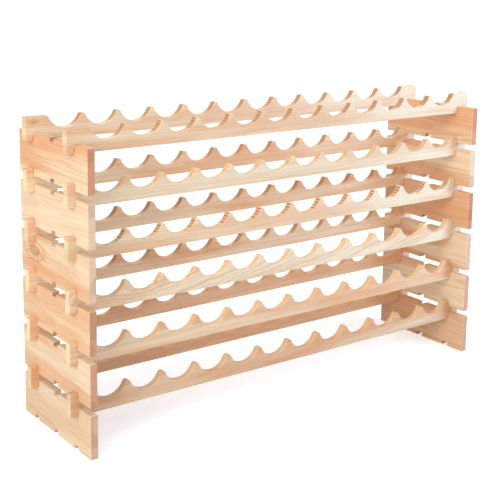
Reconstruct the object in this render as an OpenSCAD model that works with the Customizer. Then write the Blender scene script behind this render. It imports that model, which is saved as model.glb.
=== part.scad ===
// Modular wine rack. Notched side boards stand on edge in two stacks, and
// scalloped rails lie across the stacks between one tier and the next. The
// notches of boards and rails lap over each other, so gravity locks the rack.
//
// Origin: on the floor, at the centre of the rack. +X runs along the rails,
// +Y points to the back, +Z is up. Tier 1 is the lowest.

/* [Rack] */
// Number of tiers, each one pair of boards and one pair of rails
tiers = 6; // [2:1:8]
// Bottles that lie side by side on one tier
bottles = 12; // [3:1:14]
// Distance between the centres of two neighbouring bottles
bottle_pitch = 91.5; // [84:0.5:120]

/* [Side boards] */
// Depth of the rack, front edge to back edge of a board
board_depth = 320; // [240:1:400]
// Height of one board
board_h = 98; // [70:1:140]
// Thickness of a board
board_t = 18; // [12:0.5:26]
// Distance from the middle of the board to the middle of a rail's notch
rail_offset = 97; // [60:1:110]

/* [Rails] */
// Height of a rail
rail_h = 53; // [40:1:75]
// Thickness of a rail
rail_t = 18; // [12:0.5:26]
// Plain block at each end of a rail, outside the row of bottles
end_block = 51; // [44:1:90]
// Length of rail that sticks out past the outer face of a board
rail_overhang = 18.5; // [6:0.5:24]
// Height by which a rail and a board overlap where they cross
lap = 18; // [10:1:24]

/* [Cradles] */
// Diameter of the circle of the cut that holds a bottle
cradle_d = 88; // [72:1:90]
// Depth of the cut below the top edge of the rail
cradle_depth = 29; // [12:1:32]
// Radius that rounds the two corners of each cut
cradle_lip_r = 4; // [1:0.5:5]

/* [Fits] */
// Side clearance of a rail or a board in the notch that it drops into
notch_clearance = 0.5; // [0.2:0.1:1.5]

/* [Hidden] */
$fn = 64;

// Where the pieces stand
rail_len = bottles * bottle_pitch + 2 * end_block;
board_outer_x = rail_len / 2 - rail_overhang;
tier_gap = rail_h - 2 * lap;
tier_pitch = board_h + tier_gap;

// Notches: a board and a rail each give up half of the lap
notch_depth = lap / 2;
board_notch_w = rail_t + 2 * notch_clearance;
rail_notch_w = board_t + 2 * notch_clearance;
board_notches = [-rail_offset, 0, rail_offset];
// How far a cutting shape runs past the face that it cuts
past = 1;

// Cradle outline in the rail's own frame, z = 0 at its bottom edge
cradle_r = cradle_d / 2;
cradle_z = rail_h - cradle_depth + cradle_r;
lip_z = rail_h - cradle_lip_r;
// The circles of the lips cross the round cut by this much
lip_bite = 0.1;
lip_reach = cradle_r + cradle_lip_r - lip_bite;
lip_x = sqrt(pow(lip_reach, 2) - pow(cradle_z - lip_z, 2));
// Height at which the round cut runs into its lips
meet_z = cradle_z + (lip_z - cradle_z) * cradle_r / lip_reach;

SIDES = ["left", "right"];
ROWS = ["front", "rear"];

// Round cut for one bottle, centred on x = 0: a circle that opens upwards
// through two rounded lips.
module cradle_cut() {
    translate([0, cradle_z]) circle(r = cradle_r);
    difference() {
        translate([-lip_x, meet_z]) square([2 * lip_x, rail_h - meet_z + past]);
        for (way = [-1, 1])
            translate([way * lip_x, lip_z]) circle(r = cradle_lip_r);
    }
}

// Outline of a rail seen from the front, centred on x = 0
module rail_outline(notched_top) {
    notch_x = board_outer_x - board_t / 2;
    difference() {
        translate([-rail_len / 2, 0]) square([rail_len, rail_h]);
        for (bottle = [0 : bottles - 1])
            translate([(bottle - (bottles - 1) / 2) * bottle_pitch, 0]) cradle_cut();
        for (way = [-1, 1]) {
            translate([way * notch_x - rail_notch_w / 2, -past])
                square([rail_notch_w, notch_depth + past]);
            if (notched_top)
                translate([way * notch_x - rail_notch_w / 2, rail_h - notch_depth])
                    square([rail_notch_w, notch_depth + past]);
        }
    }
}

// Outline of a board seen from the side, centred on its depth
module board_outline() {
    difference() {
        translate([-board_depth / 2, 0]) square([board_depth, board_h]);
        for (y = board_notches) {
            translate([y - board_notch_w / 2, -past])
                square([board_notch_w, notch_depth + past]);
            translate([y - board_notch_w / 2, board_h - notch_depth])
                square([board_notch_w, notch_depth + past]);
        }
    }
}

// One side board, on edge in the left or the right stack
module board(side, tier) {
    outer_x = side == "left" ? -board_outer_x : board_outer_x - board_t;
    color("navajowhite")
        translate([outer_x, 0, (tier - 1) * tier_pitch])
            rotate([90, 0, 90])
                linear_extrude(height = board_t) board_outline();
}

// One scalloped rail, across the tops of the two boards of its tier
module rail(row, tier) {
    centre_y = row == "front" ? -rail_offset : rail_offset;
    color("burlywood")
        translate([0, centre_y + rail_t / 2, (tier - 1) * tier_pitch + board_h - lap])
            rotate([90, 0, 0])
                linear_extrude(height = rail_t) rail_outline(tier < tiers);
}

for (tier = [1 : tiers]) {
    for (side = SIDES)
        board(side, tier);
    for (row = ROWS)
        rail(row, tier);
}
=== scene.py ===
import math

import bmesh
import bpy
from mathutils import Matrix, Vector


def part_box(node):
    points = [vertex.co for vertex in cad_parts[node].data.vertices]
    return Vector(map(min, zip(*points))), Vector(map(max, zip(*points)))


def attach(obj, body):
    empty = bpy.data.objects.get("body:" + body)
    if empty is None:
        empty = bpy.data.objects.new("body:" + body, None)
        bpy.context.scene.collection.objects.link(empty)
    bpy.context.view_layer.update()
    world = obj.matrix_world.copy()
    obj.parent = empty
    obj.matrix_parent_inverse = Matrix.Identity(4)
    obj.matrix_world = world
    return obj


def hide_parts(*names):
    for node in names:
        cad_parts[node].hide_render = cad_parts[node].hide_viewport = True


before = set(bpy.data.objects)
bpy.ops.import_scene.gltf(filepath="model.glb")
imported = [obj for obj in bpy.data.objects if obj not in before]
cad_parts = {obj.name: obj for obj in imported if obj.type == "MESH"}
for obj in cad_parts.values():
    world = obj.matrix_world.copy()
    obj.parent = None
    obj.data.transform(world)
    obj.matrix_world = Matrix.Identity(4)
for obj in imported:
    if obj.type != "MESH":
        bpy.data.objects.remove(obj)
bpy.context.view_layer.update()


# ---------------------------------------------------------------- side boards
# Twelve planed pine boards stand on edge in two stacks of six. Each has three
# square notches in its bottom edge and three in its top edge: the outer two
# take the rails, the middle one stays empty. Saw-cut, edges lightly eased.

TIERS = 6
EASED_EDGE = 0.0011
SHARP_CORNER = 0.8
CURVED_CORNER = math.radians(50)
NOTCH_CLEARANCE = 0.0005
SAW_OVERRUN = 0.01
SAME_POINT = 1e-6
SAME_PLANE = 0.001

rail_low, rail_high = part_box("front_rail_1")
board_low, board_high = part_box("left_board_1")
rail_thickness = rail_high.y - rail_low.y
board_thickness = board_high.x - board_low.x
rail_offset = abs(rail_high.y + rail_low.y) / 2
notch_depth = (board_high.z - rail_low.z) / 2


def ease_edges(bm):
    """Rounds the outside corners of a piece, as light sanding does."""
    bmesh.ops.recalc_face_normals(bm, faces=bm.faces)
    corners = [e for e in bm.edges if e.is_convex and e.calc_face_angle() > SHARP_CORNER]
    bevel = bmesh.ops.bevel(
        bm,
        geom=corners,
        offset=EASED_EDGE,
        affect="EDGES",
        segments=2,
        profile=0.5,
        material=-1,
        clamp_overlap=True,
    )
    rounded = set(bevel["faces"])
    for edge in bm.edges:
        first, second = edge.link_faces
        same_kind = (first in rounded) == (second in rounded)
        edge.smooth = same_kind and edge.calc_face_angle() < CURVED_CORNER
    for face in bm.faces:
        face.smooth = True


def finished_piece(bm, name, node):
    """Makes the piece an object that stands for its CAD node."""
    mesh = bpy.data.meshes.new(name)
    bm.to_mesh(mesh)
    bm.free()
    piece = bpy.data.objects.new(name, mesh)
    bpy.context.scene.collection.objects.link(piece)
    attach(piece, "root")
    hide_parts(node)
    return piece


def cut_away(bm, axis, start, end, bottom, top):
    """Saws a square notch out of a flat sheet: axis 0 or 1 names its long way."""
    across = Vector((1, 0, 0)) if axis == 0 else Vector((0, 1, 0))
    up = Vector((0, 0, 1))
    for normal, at in ((across, start), (across, end), (up, bottom), (up, top)):
        bmesh.ops.bisect_plane(
            bm,
            geom=bm.verts[:] + bm.edges[:] + bm.faces[:],
            dist=SAME_POINT,
            plane_co=normal * at,
            plane_no=normal,
        )
    waste = []
    for face in bm.faces:
        middle = face.calc_center_median()
        if start < middle[axis] < end and bottom < middle.z < top:
            waste.append(face)
    bmesh.ops.delete(bm, geom=waste, context="FACES")


def thicken(bm, shift):
    """Gives a flat sheet its thickness, by a copy of it moved over by shift."""
    grown = bmesh.ops.extrude_face_region(bm, geom=bm.faces[:])["geom"]
    moved = [v for v in grown if isinstance(v, bmesh.types.BMVert)]
    bmesh.ops.translate(bm, verts=moved, vec=shift)


def side_board(name, node):
    low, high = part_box(node)
    centre = (low + high) / 2
    half_notch = rail_thickness / 2 + NOTCH_CLEARANCE
    bm = bmesh.new()
    bmesh.ops.create_grid(bm, x_segments=1, y_segments=1, size=0.5)
    upright = Matrix.Rotation(math.radians(90), 3, "Y")
    bmesh.ops.rotate(bm, verts=bm.verts, matrix=upright)
    bmesh.ops.scale(bm, verts=bm.verts, vec=(1, high.y - low.y, high.z - low.z))
    bmesh.ops.translate(bm, verts=bm.verts, vec=(low.x, centre.y, centre.z))
    for at in (-rail_offset, 0, rail_offset):
        sides = (at - half_notch, at + half_notch)
        cut_away(bm, 1, *sides, low.z - SAW_OVERRUN, low.z + notch_depth)
        cut_away(bm, 1, *sides, high.z - notch_depth, high.z + SAW_OVERRUN)
    bmesh.ops.dissolve_limit(bm, angle_limit=SAME_PLANE, verts=bm.verts, edges=bm.edges)
    thicken(bm, (high.x - low.x, 0, 0))
    ease_edges(bm)
    return finished_piece(bm, name, node)


# Pine: pale sapwood with darker latewood lines that run round a pith outside
# the piece. The lines show as long flames on the flat faces and as close
# stripes wherever a cut crosses the grain.

KNOT_OVAL = (42, 92, 92)
KNOT_RAGGEDNESS = (60, 110, 110)
RING_PUSHED_OUT = 0.014
DRIFT_ACROSS = 9
FIBRES = (8, 330, 330)
WARM_BANDS = (1.9, 22, 22)


def add_node(tree, kind, **settings):
    node = tree.nodes.new(kind)
    for name, value in settings.items():
        setattr(node, name, value)
    return node


def feed(tree, value, socket):
    """Joins an output to a socket, or sets the socket to a number or colour."""
    if isinstance(value, bpy.types.NodeSocket):
        tree.links.new(value, socket)
    else:
        socket.default_value = value


def calc(tree, operation, first, second=0.0, third=0.0):
    node = add_node(tree, "ShaderNodeMath", operation=operation)
    for value, socket in zip((first, second, third), node.inputs):
        feed(tree, value, socket)
    return node.outputs[0]


def calc_vector(tree, operation, first, second=(0, 0, 0)):
    node = add_node(tree, "ShaderNodeVectorMath", operation=operation)
    feed(tree, first, node.inputs[0])
    feed(tree, second, node.inputs[1])
    return node.outputs["Value" if operation in ("LENGTH", "DOT_PRODUCT") else "Vector"]


def fade(tree, value, start, end, low=0.0, high=1.0):
    """Turns a stretch of values into a smooth change from low to high."""
    node = add_node(tree, "ShaderNodeMapRange", interpolation_type="SMOOTHSTEP")
    feed(tree, value, node.inputs["Value"])
    node.inputs["From Min"].default_value = start
    node.inputs["From Max"].default_value = end
    node.inputs["To Min"].default_value = low
    node.inputs["To Max"].default_value = high
    return node.outputs["Result"]


def hump(tree, value, rise, fall, height=1.0):
    """Rises from nothing over one stretch of values and sinks over the next."""
    climb = fade(tree, value, *rise)
    sink = fade(tree, value, *fall, low=height, high=0.0)
    return calc(tree, "MULTIPLY", climb, sink)


def cloud(tree, vector, detail, roughness=0.5):
    node = add_node(tree, "ShaderNodeTexNoise", noise_dimensions="3D")
    feed(tree, vector, node.inputs["Vector"])
    node.inputs["Scale"].default_value = 1.0
    node.inputs["Detail"].default_value = detail
    node.inputs["Roughness"].default_value = roughness
    return node


def yearly_change(tree, year, pace, shift=0.0):
    """Noise that changes from ring to ring."""
    node = add_node(tree, "ShaderNodeTexNoise", noise_dimensions="1D")
    feed(tree, calc(tree, "MULTIPLY_ADD", year, pace, shift), node.inputs["W"])
    node.inputs["Scale"].default_value = 1.0
    return node.outputs["Fac"]


def pine_figure():
    """The masks of sawn pine, for a piece whose grain runs along X."""
    group = bpy.data.node_groups.new("pine_figure", "ShaderNodeTree")
    for name in ("Vector", "Knot"):
        group.interface.new_socket(name, in_out="INPUT", socket_type="NodeSocketVector")
    for name in ("Facing", "Sideways", "Ring Width", "Wander", "Waves", "Knot Size"):
        group.interface.new_socket(name, in_out="INPUT", socket_type="NodeSocketFloat")
    grain_masks = ("Latewood", "Fibre", "Band", "Cut", "Square End")
    knot_masks = ("Knot", "Knot Rim", "Knot Halo")
    for name in grain_masks + knot_masks:
        group.interface.new_socket(name, in_out="OUTPUT", socket_type="NodeSocketFloat")
    given = add_node(group, "NodeGroupInput").outputs
    result = add_node(group, "NodeGroupOutput").inputs

    # The knot: a ragged oval with a dark rim, and a fainter ring further out
    from_knot = calc_vector(group, "SUBTRACT", given["Vector"], given["Knot"])
    oval = calc_vector(group, "MULTIPLY", from_knot, KNOT_OVAL)
    ragged = calc_vector(group, "MULTIPLY", given["Vector"], KNOT_RAGGEDNESS)
    ragged = cloud(group, ragged, detail=2).outputs["Fac"]
    reach = calc(group, "DIVIDE", calc_vector(group, "LENGTH", oval), given["Knot Size"])
    reach = calc(group, "MULTIPLY_ADD", ragged, 0.9, reach)
    rim = hump(group, reach, rise=(1.0, 1.35), fall=(1.35, 1.75))
    outer_ring = hump(group, reach, rise=(2.1, 2.6), fall=(2.6, 2.9), height=0.45)
    feed(group, fade(group, reach, 0.9, 1.6, low=1.0, high=0.0), result["Knot"])
    feed(group, calc(group, "MAXIMUM", rim, outer_ring), result["Knot Rim"])
    feed(group, fade(group, reach, 1.8, 4.0, low=1.0, high=0.0), result["Knot Halo"])
    bulge = fade(group, reach, 0.8, 4.5, low=RING_PUSHED_OUT, high=0.0)

    # The rings: distance from the pith, which wanders along the piece
    stretch = add_node(group, "ShaderNodeCombineXYZ")
    feed(group, given["Waves"], stretch.inputs["X"])
    stretch.inputs["Y"].default_value = DRIFT_ACROSS
    stretch.inputs["Z"].default_value = DRIFT_ACROSS
    stretched = calc_vector(group, "MULTIPLY", given["Vector"], stretch.outputs["Vector"])
    drift = cloud(group, stretched, detail=2).outputs["Color"]
    drift = calc_vector(group, "SUBTRACT", drift, (0.5, 0.5, 0.5))
    scaled = add_node(group, "ShaderNodeVectorMath", operation="SCALE")
    feed(group, drift, scaled.inputs[0])
    feed(group, given["Wander"], scaled.inputs["Scale"])
    wandering = calc_vector(group, "ADD", given["Vector"], scaled.outputs["Vector"])
    across = calc_vector(group, "MULTIPLY", wandering, (0, 1, 1))
    radius = calc(group, "ADD", calc_vector(group, "LENGTH", across), bulge)
    year = calc(group, "DIVIDE", radius, given["Ring Width"])
    uneven = yearly_change(group, year, pace=0.35)
    season = calc(group, "FRACT", calc(group, "MULTIPLY_ADD", uneven, 2.2, year))
    late = hump(group, season, rise=(0.30, 0.86), fall=(0.93, 1.0))
    vigour = yearly_change(group, year, pace=0.8, shift=40.0)
    vigour = fade(group, vigour, 0.35, 0.65, low=0.3, high=1.0)
    feed(group, calc(group, "MULTIPLY", late, vigour), result["Latewood"])

    # Fine fibres and broad bands of warmer wood along the piece
    fibres = calc_vector(group, "MULTIPLY", wandering, FIBRES)
    fibres = cloud(group, fibres, detail=4, roughness=0.6)
    feed(group, fibres.outputs["Fac"], result["Fibre"])
    bands = calc_vector(group, "MULTIPLY", wandering, WARM_BANDS)
    bands = cloud(group, bands, detail=2)
    feed(group, bands.outputs["Fac"], result["Band"])

    # Where the surface crosses the grain, and where it is cut square to it
    flank = fade(group, given["Sideways"], 0.1, 0.6, low=1.0, high=0.0)
    crossing = fade(group, given["Facing"], 0.18, 0.75)
    feed(group, calc(group, "MULTIPLY", crossing, flank), result["Cut"])
    feed(group, fade(group, given["Facing"], 0.96, 0.99), result["Square End"])
    return group


PINE_FIGURE = pine_figure()
SAPWOOD = Vector((0.780, 0.612, 0.422, 1))
HEARTWOOD = Vector((0.700, 0.370, 0.195, 1))
LATEWOOD = Vector((0.540, 0.260, 0.105, 1))
CUT_LATEWOOD = Vector((0.400, 0.120, 0.030, 1))
KNOT_WOOD = Vector((0.600, 0.300, 0.130, 1))
KNOT_RIM = Vector((0.400, 0.165, 0.060, 1))
PALE_SAWN_END = Vector((0.680, 0.500, 0.345, 1))
DARK_SAWN_END = Vector((0.535, 0.250, 0.150, 1))
NO_KNOT = Vector((9, 9, 9))

# How far each colour covers the wood under it, and what the knot adds round it
CUT_COVER = 0.85
END_COVER = 0.80
KNOT_COVER = 0.75
RIM_COVER = 0.60
HALO_WARMTH = 0.25
HALO_LINES = 0.40


def blend_colour(tree, amount, first, second, mode="MIX"):
    node = add_node(tree, "ShaderNodeMix", data_type="RGBA", blend_type=mode)
    feed(tree, amount, node.inputs["Factor"])
    feed(tree, first, node.inputs["A"])
    feed(tree, second, node.inputs["B"])
    return node.outputs["Result"]


def stain(tree, wood, mask, strength, colour):
    """Lays a colour over the wood where a mask shows."""
    return blend_colour(tree, calc(tree, "MULTIPLY", mask, strength), wood, colour)


def pine(
    name, grain, pith, lean, rings, warmth_and_painted_shade, lightness_and_painted_light, figure, cut_figure, cut_colour, end_colour,
    knot=NO_KNOT, knot_size=1.0,
):
    """Pine for one piece, its grain along X or Y.

    lean is how far the grain rises and dives from the edges, in degrees.
    rings is the width of a ring, how far it wanders, and how many waves a metre.
    """
    material = bpy.data.materials.new(name)
    material.use_nodes = True
    tree = material.node_tree
    shader = tree.nodes["Principled BSDF"]
    place = add_node(tree, "ShaderNodeTexCoord")
    along = add_node(tree, "ShaderNodeMapping", vector_type="TEXTURE")
    feed(tree, place.outputs["Object"], along.inputs["Vector"])
    along.inputs["Location"].default_value = pith
    turn = Matrix.Rotation(math.radians(90 if grain == "Y" else 0), 3, "Z")
    turn = turn @ Matrix.Rotation(math.radians(lean[0]), 3, "Y")
    turn = turn @ Matrix.Rotation(math.radians(lean[1]), 3, "Z")
    along.inputs["Rotation"].default_value = turn.to_euler()
    surface = add_node(tree, "ShaderNodeNewGeometry")
    axes = {"Facing": (1, 0, 0), "Sideways": (0, 1, 0)}
    if grain == "Y":
        axes = {"Facing": (0, 1, 0), "Sideways": (1, 0, 0)}
    figure_node = add_node(tree, "ShaderNodeGroup", node_tree=PINE_FIGURE)
    feed(tree, along.outputs["Vector"], figure_node.inputs["Vector"])
    for socket, axis in axes.items():
        aligned = calc_vector(tree, "DOT_PRODUCT", surface.outputs["Normal"], axis)
        feed(tree, calc(tree, "ABSOLUTE", aligned), figure_node.inputs[socket])
    for socket, value in zip(("Ring Width", "Wander", "Waves"), rings):
        figure_node.inputs[socket].default_value = value
    figure_node.inputs["Knot"].default_value = turn.transposed() @ (knot - Vector(pith))
    figure_node.inputs["Knot Size"].default_value = knot_size
    mask = figure_node.outputs

    # Bands of sapwood and heartwood, which differ most in middling wood
    # On the rails the warmth also carries painted shade: warmer, darker wood low down
    spread = 0.45 - 0.70 * abs(warmth_and_painted_shade - 0.5)
    heartwood_and_painted_shade = fade(tree, mask["Band"], 0.40, 0.60, warmth_and_painted_shade - spread, warmth_and_painted_shade + spread)
    heartwood_and_painted_shade = calc(tree, "MULTIPLY_ADD", mask["Knot Halo"], HALO_WARMTH, heartwood_and_painted_shade)
    wood = blend_colour(tree, heartwood_and_painted_shade, SAPWOOD, HEARTWOOD)

    # Cut faces, latewood lines on them and on the flat faces, and sawn ends
    wood = stain(tree, wood, mask["Cut"], CUT_COVER, cut_colour)
    lines = calc(tree, "MULTIPLY_ADD", mask["Knot Halo"], HALO_LINES, figure)
    wood = stain(tree, wood, mask["Latewood"], lines, LATEWOOD)
    cut_lines = calc(tree, "MULTIPLY", mask["Latewood"], mask["Cut"])
    wood = stain(tree, wood, cut_lines, cut_figure, CUT_LATEWOOD)
    end_band = fade(tree, mask["Band"], 0.44, 0.56)
    end = blend_colour(tree, end_band, end_colour * 1.08, end_colour * 0.86)
    wood = stain(tree, wood, mask["Square End"], END_COVER, end)
    wood = stain(tree, wood, mask["Knot"], KNOT_COVER, KNOT_WOOD)
    wood = stain(tree, wood, mask["Knot Rim"], RIM_COVER, KNOT_RIM)

    # Fine streaks in colour, gloss and relief
    # The streak colour is scaled by the piece's lightness, which is partly painted light and
    # shade
    streak_and_painted_light = fade(tree, mask["Fibre"], 0.3, 0.7, 0.91 * lightness_and_painted_light, 1.04 * lightness_and_painted_light)
    shade = add_node(tree, "ShaderNodeCombineColor")
    for channel in shade.inputs:
        feed(tree, streak_and_painted_light, channel)
    wood = blend_colour(tree, 1.0, wood, shade.outputs["Color"], "MULTIPLY")
    feed(tree, wood, shader.inputs["Base Color"])
    roughness = fade(tree, mask["Fibre"], 0.3, 0.7, low=0.62, high=0.50)
    feed(tree, roughness, shader.inputs["Roughness"])
    shader.inputs["Specular IOR Level"].default_value = 0.35
    relief = calc(tree, "MULTIPLY_ADD", mask["Latewood"], 0.4, mask["Fibre"])
    bump = add_node(tree, "ShaderNodeBump")
    bump.inputs["Strength"].default_value = 0.35
    bump.inputs["Distance"].default_value = 0.0004
    feed(tree, relief, bump.inputs["Height"])
    feed(tree, bump.outputs["Normal"], shader.inputs["Normal"])
    return material


# From the floor up: how warm the wood is, how light it is, and how dark its
# sawn ends are. The lightness is partly painted light and shade: darker boards
# at the floor, lighter upper boards on the right
board_warmth = {
    "left": (0.14, 0.34, 0.36, 0.52, 0.05, 0.54),
    "right": (0.86, 0.40, 0.55, 0.95, 0.50, 0.65),
}
# Lightness, with painted shade on the lowest boards and painted light on the upper right ones
board_tone_and_painted_light = {
    "left": (0.94, 0.96, 1.00, 1.00, 1.00, 1.01),
    "right": (0.94, 1.00, 1.00, 1.00, 1.03, 1.10),
}
board_end_tone = {
    "left": (0.40, 0.85, 0.90, 0.10, 0.05, 1.00),
    "right": (0.80, 0.90, 0.55, 1.30, 0.35, 1.20),
}
board_figure = {"left": 0.26, "right": 0.48}
BOARD_CUT_FIGURE = 0.10
BOARD_WANDER = 0.014
WAVES = 2.2
KNOTTY_BOARD = "left_board_4"
KNOT_FROM_MIDDLE = 0.096
KNOT_HEIGHT = 0.060

for tier in range(1, TIERS + 1):
    for side in ("left", "right"):
        node = f"{side}_board_{tier}"
        board = side_board(f"{side}_side_board_{tier}", node)
        low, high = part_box(node)
        turned = 1 if (tier + (side == "right")) % 2 else -1
        pith_away = 0.045 + 0.011 * ((tier * 5) % 4)
        pith_height = 0.01 + 0.021 * ((tier * 3 + (side == "right") + 2) % 5)
        pith = Vector((low.x + turned * pith_away, 0.0, low.z + pith_height))
        lean = (turned * (0.8 + 0.7 * (tier % 3)), 0.9 * turned)
        ring_width = 0.0042 + 0.0006 * (tier % 3)
        sawn_end = PALE_SAWN_END.lerp(DARK_SAWN_END, board_end_tone[side][tier - 1])
        knot = NO_KNOT
        if node == KNOTTY_BOARD:
            knot = Vector((low.x, KNOT_FROM_MIDDLE, low.z + KNOT_HEIGHT))
        board.data.materials.append(
            pine(
                f"pine_{node}",
                grain="Y",
                pith=pith,
                lean=lean,
                rings=(ring_width, BOARD_WANDER, WAVES),
                warmth_and_painted_shade=board_warmth[side][tier - 1],
                lightness_and_painted_light=board_tone_and_painted_light[side][tier - 1],
                figure=board_figure[side],
                cut_figure=BOARD_CUT_FIGURE,
                cut_colour=sawn_end,
                end_colour=sawn_end,
                knot=knot,
            )
        )


# ---------------------------------------------------------------- bottle rails
# Twelve rails, a front and a rear one on each tier, lie across the boards.
# Their top edge has twelve round cuts for bottles with softened lips, and
# each plain end is notched to lap over the boards below and above it.

CRADLES = 12
CRADLE_PITCH = 0.0915
CRADLE_RADIUS = 0.044
CRADLE_DEPTH = 0.029
CRADLE_STEPS = 20
LIP_RADIUS = 0.004
LIP_STEPS = 4
board_middle = (board_low.x + board_high.x) / 2


def run_straight(bm, tip, x):
    """Carries the line on level to x, and gives back its new tip."""
    ahead = bmesh.ops.extrude_vert_indiv(bm, verts=[tip])["verts"][0]
    ahead.co.x = x
    return ahead


def run_round(bm, tip, x, z, angle, steps):
    """Carries the line on in an arc about x and z, and gives back its new tip."""
    arc = bmesh.ops.spin(
        bm, geom=[tip], cent=(x, tip.co.y, z), axis=(0, 1, 0), angle=angle, steps=steps
    )
    return [v for v in arc["geom_last"] if isinstance(v, bmesh.types.BMVert)][0]


def rail_edge(bm, low, high):
    """Draws the wavy top edge from left to right: flats, lips and round cuts."""
    centre_z = high.z - CRADLE_DEPTH + CRADLE_RADIUS
    lip_z = high.z - LIP_RADIUS
    reach = CRADLE_RADIUS + LIP_RADIUS
    lip_x = math.sqrt(reach ** 2 - (centre_z - lip_z) ** 2)
    swing = math.atan2(lip_x, centre_z - lip_z)
    tip = bm.verts.new((low.x, low.y, high.z))
    middle = (low.x + high.x) / 2
    for cradle in range(CRADLES):
        x = middle + (cradle - (CRADLES - 1) / 2) * CRADLE_PITCH
        tip = run_straight(bm, tip, x - lip_x)
        tip = run_round(bm, tip, x - lip_x, lip_z, swing, LIP_STEPS)
        tip = run_round(bm, tip, x, centre_z, -2 * swing, CRADLE_STEPS)
        tip = run_round(bm, tip, x + lip_x, lip_z, swing, LIP_STEPS)
    run_straight(bm, tip, high.x)


def bottle_rail(name, node, notched_top):
    low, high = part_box(node)
    half_notch = board_thickness / 2 + NOTCH_CLEARANCE
    bm = bmesh.new()
    rail_edge(bm, low, high)
    hung = bmesh.ops.extrude_edge_only(bm, edges=bm.edges[:])["geom"]
    for vertex in hung:
        if isinstance(vertex, bmesh.types.BMVert):
            vertex.co.z = low.z
    for at in (board_middle, -board_middle):
        sides = (at - half_notch, at + half_notch)
        cut_away(bm, 0, *sides, low.z - SAW_OVERRUN, low.z + notch_depth)
        if notched_top:
            cut_away(bm, 0, *sides, high.z - notch_depth, high.z + SAW_OVERRUN)
    bmesh.ops.dissolve_limit(bm, angle_limit=SAME_PLANE, verts=bm.verts, edges=bm.edges)
    thicken(bm, (0, high.y - low.y, 0))
    ease_edges(bm)
    return finished_piece(bm, name, node)


# From the floor up: how warm and how light the wood is, how bold its lines are
# on the flat faces and on the cuts, and how dark the cuts are. Part of the
# warmth, lightness and cut darkness is painted light and shade, as noted below
# Warmth, with painted shade making the lowest rails warmer and darker
rail_warmth_and_painted_shade = {
    "front": (0.72, 0.62, 0.14, 0.30, 0.22, 0.33),
    "rear": (0.95, 0.90, 0.64, 0.64, 0.44, 0.30),
}
# Lightness, with painted shade on the lowest front rail and painted light lifting the rear
# rails out of the shade behind the front rails
rail_tone_and_painted_light = {
    "front": (0.89, 0.97, 0.97, 0.98, 0.98, 0.99),
    "rear": (1.05, 1.09, 1.11, 1.09, 1.10, 1.04),
}
rail_figure = {
    "front": (0.28, 0.24, 0.40, 0.26, 0.28, 0.28),
    "rear": (0.22, 0.22, 0.24, 0.24, 0.22, 0.20),
}
rail_cut_figure = {
    "front": (0.25, 0.25, 0.25, 1.50, 0.30, 0.80),
    "rear": (0.20, 0.20, 0.25, 0.25, 0.25, 0.30),
}
# Cut darkness: end grain, and painted shade on the cut walls of the rear rails and the top
# front rail
rail_cut_tone_and_painted_shade = {
    "front": (0.08, 0.02, 0.00, 0.36, 0.15, 0.78),
    "rear": (0.50, 0.60, 0.85, 0.95, 0.85, 0.85),
}
PALE_CUT = Vector((0.830, 0.575, 0.335, 1))
DARK_CUT = Vector((0.360, 0.165, 0.075, 1))
RAIL_END = Vector((0.800, 0.640, 0.400, 1))
RAIL_WANDER = 0.012
QUARTER_SAWN = ("front_rail_4", "front_rail_6", "rear_rail_6")
CROSS_GRAINED = "front_rail_3"
KNOTTY_RAIL = "rear_rail_6"
SMALL_KNOT = 0.22
SMALL_KNOT_X = -0.579
SMALL_KNOT_HEIGHT = 0.041

for tier in range(1, TIERS + 1):
    for row in ("front", "rear"):
        node = f"{row}_rail_{tier}"
        rail = bottle_rail(f"{row}_bottle_rail_{tier}", node, tier < TIERS)
        low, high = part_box(node)
        step = (tier * 7 + (row == "rear") * 3) % 5
        pith = Vector((0.77 * tier - 2.0, low.y + 0.060 + 0.008 * step, low.z + 0.012 * step))
        lean = (0.5 * (step - 2), 0.7)
        rings = (0.0036 + 0.0004 * step, RAIL_WANDER, WAVES)
        if node in QUARTER_SAWN:
            pith = Vector((0.0, (low.y + high.y) / 2, low.z - 0.140))
            rings = (0.0042, 0.008, WAVES)
        if node == CROSS_GRAINED:
            pith = Vector((-0.42, low.y, high.z - 0.012))
            lean = (-5, 7)
            rings = (0.0075, 0.045, 5)
        knot = NO_KNOT
        if node == KNOTTY_RAIL:
            knot = Vector((SMALL_KNOT_X, low.y, low.z + SMALL_KNOT_HEIGHT))
        rail.data.materials.append(
            pine(
                f"pine_{node}",
                grain="X",
                pith=pith,
                lean=lean,
                rings=rings,
                warmth_and_painted_shade=rail_warmth_and_painted_shade[row][tier - 1],
                lightness_and_painted_light=rail_tone_and_painted_light[row][tier - 1],
                figure=rail_figure[row][tier - 1],
                cut_figure=rail_cut_figure[row][tier - 1],
                cut_colour=PALE_CUT.lerp(DARK_CUT, rail_cut_tone_and_painted_shade[row][tier - 1]),
                end_colour=RAIL_END,
                knot=knot,
                knot_size=SMALL_KNOT,
            )
        )


# ---------------------------------------------------------------------- stage
# A pale floor under soft studio light: an even white surround, a wide warm
# softbox at the front left, a small cool one at the front right for the far
# ends of the rails, and a soft light from the ceiling.

FLOOR_REACH = 60
FLOOR_GLOW = 0.42
SURROUND_LIGHT = 0.44
SURROUND_GLOW = 0.56

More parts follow.
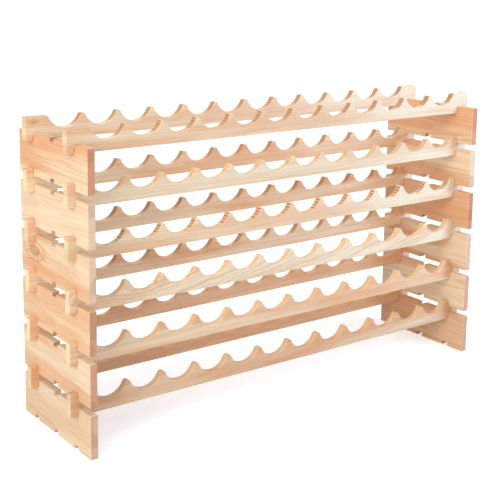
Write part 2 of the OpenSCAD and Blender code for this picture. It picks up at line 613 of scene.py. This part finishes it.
floor_bm = bmesh.new()
bmesh.ops.create_grid(floor_bm, x_segments=1, y_segments=1, size=FLOOR_REACH)
floor_mesh = bpy.data.meshes.new("studio_floor")
floor_bm.to_mesh(floor_mesh)
floor_bm.free()
studio_floor = bpy.data.objects.new("studio_floor", floor_mesh)
bpy.context.scene.collection.objects.link(studio_floor)
floor_paint = bpy.data.materials.new("pale_floor")
floor_paint.use_nodes = True
floor_shader = floor_paint.node_tree.nodes["Principled BSDF"]
floor_shader.inputs["Base Color"].default_value = (0.72, 0.72, 0.72, 1)
floor_shader.inputs["Roughness"].default_value = 0.9
floor_shader.inputs["Specular IOR Level"].default_value = 0.0
floor_shader.inputs["Emission Color"].default_value = (1, 1, 1, 1)
seen = add_node(floor_paint.node_tree, "ShaderNodeLightPath").outputs["Is Camera Ray"]
glow = calc(floor_paint.node_tree, "MULTIPLY", seen, FLOOR_GLOW)
feed(floor_paint.node_tree, glow, floor_shader.inputs["Emission Strength"])
studio_floor.data.materials.append(floor_paint)

surround = bpy.data.worlds.new("studio_surround")
surround.use_nodes = True
background = surround.node_tree.nodes["Background"]
background.inputs["Color"].default_value = (1, 1, 1, 1)
seen = add_node(surround.node_tree, "ShaderNodeLightPath").outputs["Is Camera Ray"]
glow = calc(surround.node_tree, "MULTIPLY_ADD", seen, SURROUND_GLOW, SURROUND_LIGHT)
feed(surround.node_tree, glow, background.inputs["Strength"])
bpy.context.scene.world = surround


def softbox(name, place, target, width, height, power, colour, spread):
    lamp = bpy.data.lights.new(name, "AREA")
    lamp.shape = "RECTANGLE"
    lamp.size = width
    lamp.size_y = height
    lamp.energy = power
    lamp.color = colour
    lamp.spread = math.radians(spread)
    light = bpy.data.objects.new(name, lamp)
    light.location = place
    aim = Vector(target) - Vector(place)
    light.rotation_euler = aim.to_track_quat("-Z", "Y").to_euler()
    bpy.context.scene.collection.objects.link(light)


softbox(
    "front_right_softbox",
    place=(1.35, -1.7, 1.25),
    target=(0.62, 0.02, 0.45),
    width=0.8,
    height=0.8,
    power=7,
    colour=(0.36, 0.62, 1.0),
    spread=65,
)
softbox(
    "left_softbox",
    place=(-4.2, -1.9, 1.9),
    target=(0.0, 0.0, 0.35),
    width=2.2,
    height=2.2,
    power=117,
    colour=(1.0, 0.97, 0.91),
    spread=180,
)

ceiling_lamp = bpy.data.lights.new("ceiling_light", "SUN")
ceiling_lamp.energy = 1.85
ceiling_lamp.angle = math.radians(85)
ceiling_light = bpy.data.objects.new("ceiling_light", ceiling_lamp)
ceiling_light.rotation_euler = (math.radians(12), math.radians(-10), 0)
bpy.context.scene.collection.objects.link(ceiling_light)

camera_data = bpy.data.cameras.new("studio_camera")
camera = bpy.data.objects.new("studio_camera", camera_data)
camera.location = (-1.6052, -2.0804, 1.0558)
heading = Matrix.Rotation(math.radians(-36.76), 4, "Z")
tilt = Matrix.Rotation(math.radians(90 - 10.02), 4, "X")
roll = Matrix.Rotation(math.radians(0.77), 4, "Z")
camera.rotation_euler = (heading @ tilt @ roll).to_euler()
camera_data.sensor_width = 36
camera_data.lens = 77.93
camera_data.shift_y = -0.2
camera_data.clip_end = 200
bpy.context.scene.collection.objects.link(camera)
bpy.context.scene.camera = camera
bpy.context.scene.view_settings.view_transform = "Standard"
